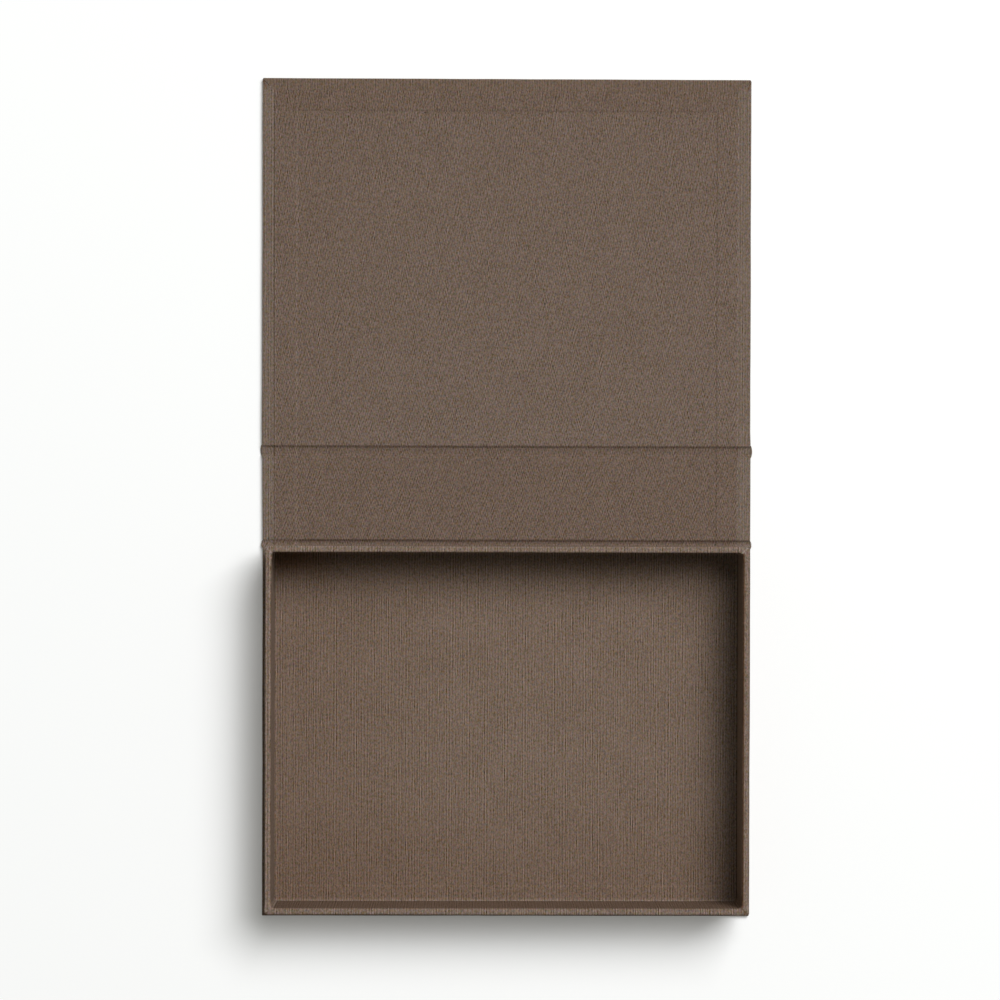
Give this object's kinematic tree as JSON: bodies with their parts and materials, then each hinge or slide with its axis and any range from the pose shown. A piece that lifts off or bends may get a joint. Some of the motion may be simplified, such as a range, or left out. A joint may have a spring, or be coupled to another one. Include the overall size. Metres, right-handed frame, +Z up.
{
  "type": "clamshell book box",
  "caption": "Shallow lidded box for papers and keepsakes: a rectangular tray on a hinged cloth-covered case that folds at two cloth joints and lies open flat.",
  "frame": {"origin": "centre of the underside of the base, under the tray", "axes": "+Z up from the table the open box lies on, +Y from the tray across the spine to the lid, +X to the right along the joints"},
  "size_m": [0.23, 0.3937, 0.0375],
  "materials": {
    "greyboard": "matte",
    "cover_cloth": "matte",
    "lining_cloth": "matte"
  },
  "bodies": {
    "tray": {"base_board": "greyboard", "base_cover": "cover_cloth", "base_lining": "lining_cloth", "base_joint_cover": "cover_cloth", "base_joint_lining": "lining_cloth", "tray_floor_board": "greyboard", "tray_front_wall": "greyboard", "tray_back_wall": "greyboard", "tray_left_wall": "greyboard", "tray_right_wall": "greyboard", "tray_cover": "cover_cloth", "tray_floor_lining": "lining_cloth"},
    "spine": {"spine_board": "greyboard", "spine_cover": "cover_cloth", "spine_lining": "lining_cloth", "lid_joint_cover": "cover_cloth", "lid_joint_lining": "lining_cloth"},
    "lid": {"lid_board": "greyboard", "lid_cover": "cover_cloth", "lid_lining": "lining_cloth"}
  },
  "joints": [
    {"name": "spine_hinge", "type": "hinge", "parent": "tray", "child": "spine", "pos_m": [0, 0.08985, 0.0004], "axis": [1, 0, 0], "range_deg": [0, 90], "deforming": ["base_joint_cover", "base_joint_lining"]},
    {"name": "lid_hinge", "type": "hinge", "parent": "spine", "child": "lid", "pos_m": [0, 0.12957, 0.00049], "axis": [1, 0, 0], "range_deg": [0, 90], "deforming": ["lid_joint_cover", "lid_joint_lining"]}
  ]
}
